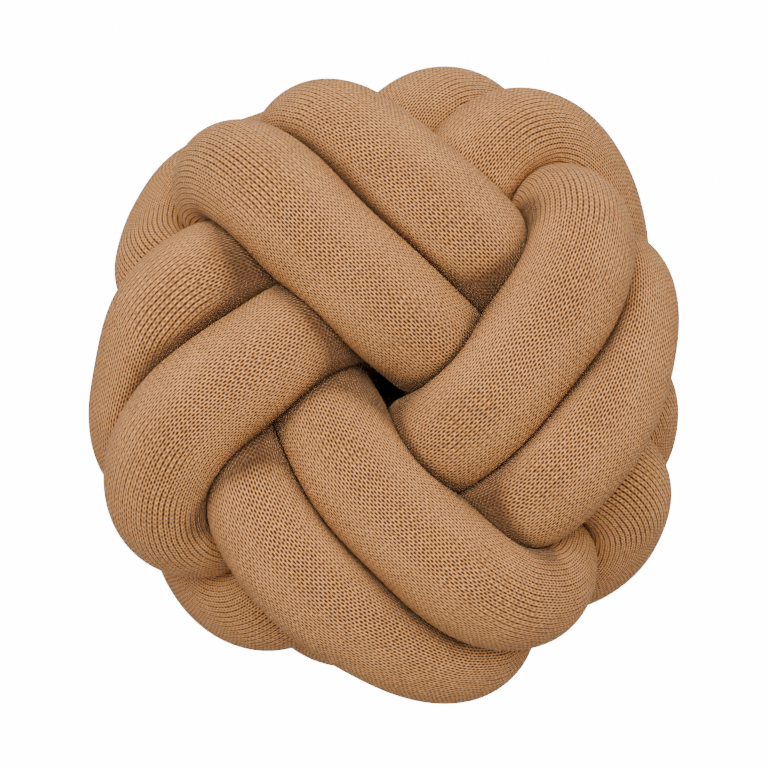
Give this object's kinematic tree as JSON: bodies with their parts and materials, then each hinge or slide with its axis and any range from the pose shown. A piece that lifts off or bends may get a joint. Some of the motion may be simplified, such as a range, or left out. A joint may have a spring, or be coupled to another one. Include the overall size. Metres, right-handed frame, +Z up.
{
  "type": "knot cushion",
  "caption": "Round knot cushion of stuffed knitted tubes laid over and under each other in a flattened ball.",
  "frame": {"origin": "middle of the footprint, on the surface the cushion lies on", "axes": "+Z up out of the face, +Y towards the top of the face as it is seen from the front, +X to the right of it"},
  "size_m": [0.2896, 0.3148, 0.1938],
  "materials": {
    "jersey": "camel brown plain knit, matt and slightly fuzzy"
  },
  "bodies": {
    "root": {"tube_one": "jersey", "tube_two": "jersey"}
  },
  "joints": []
}
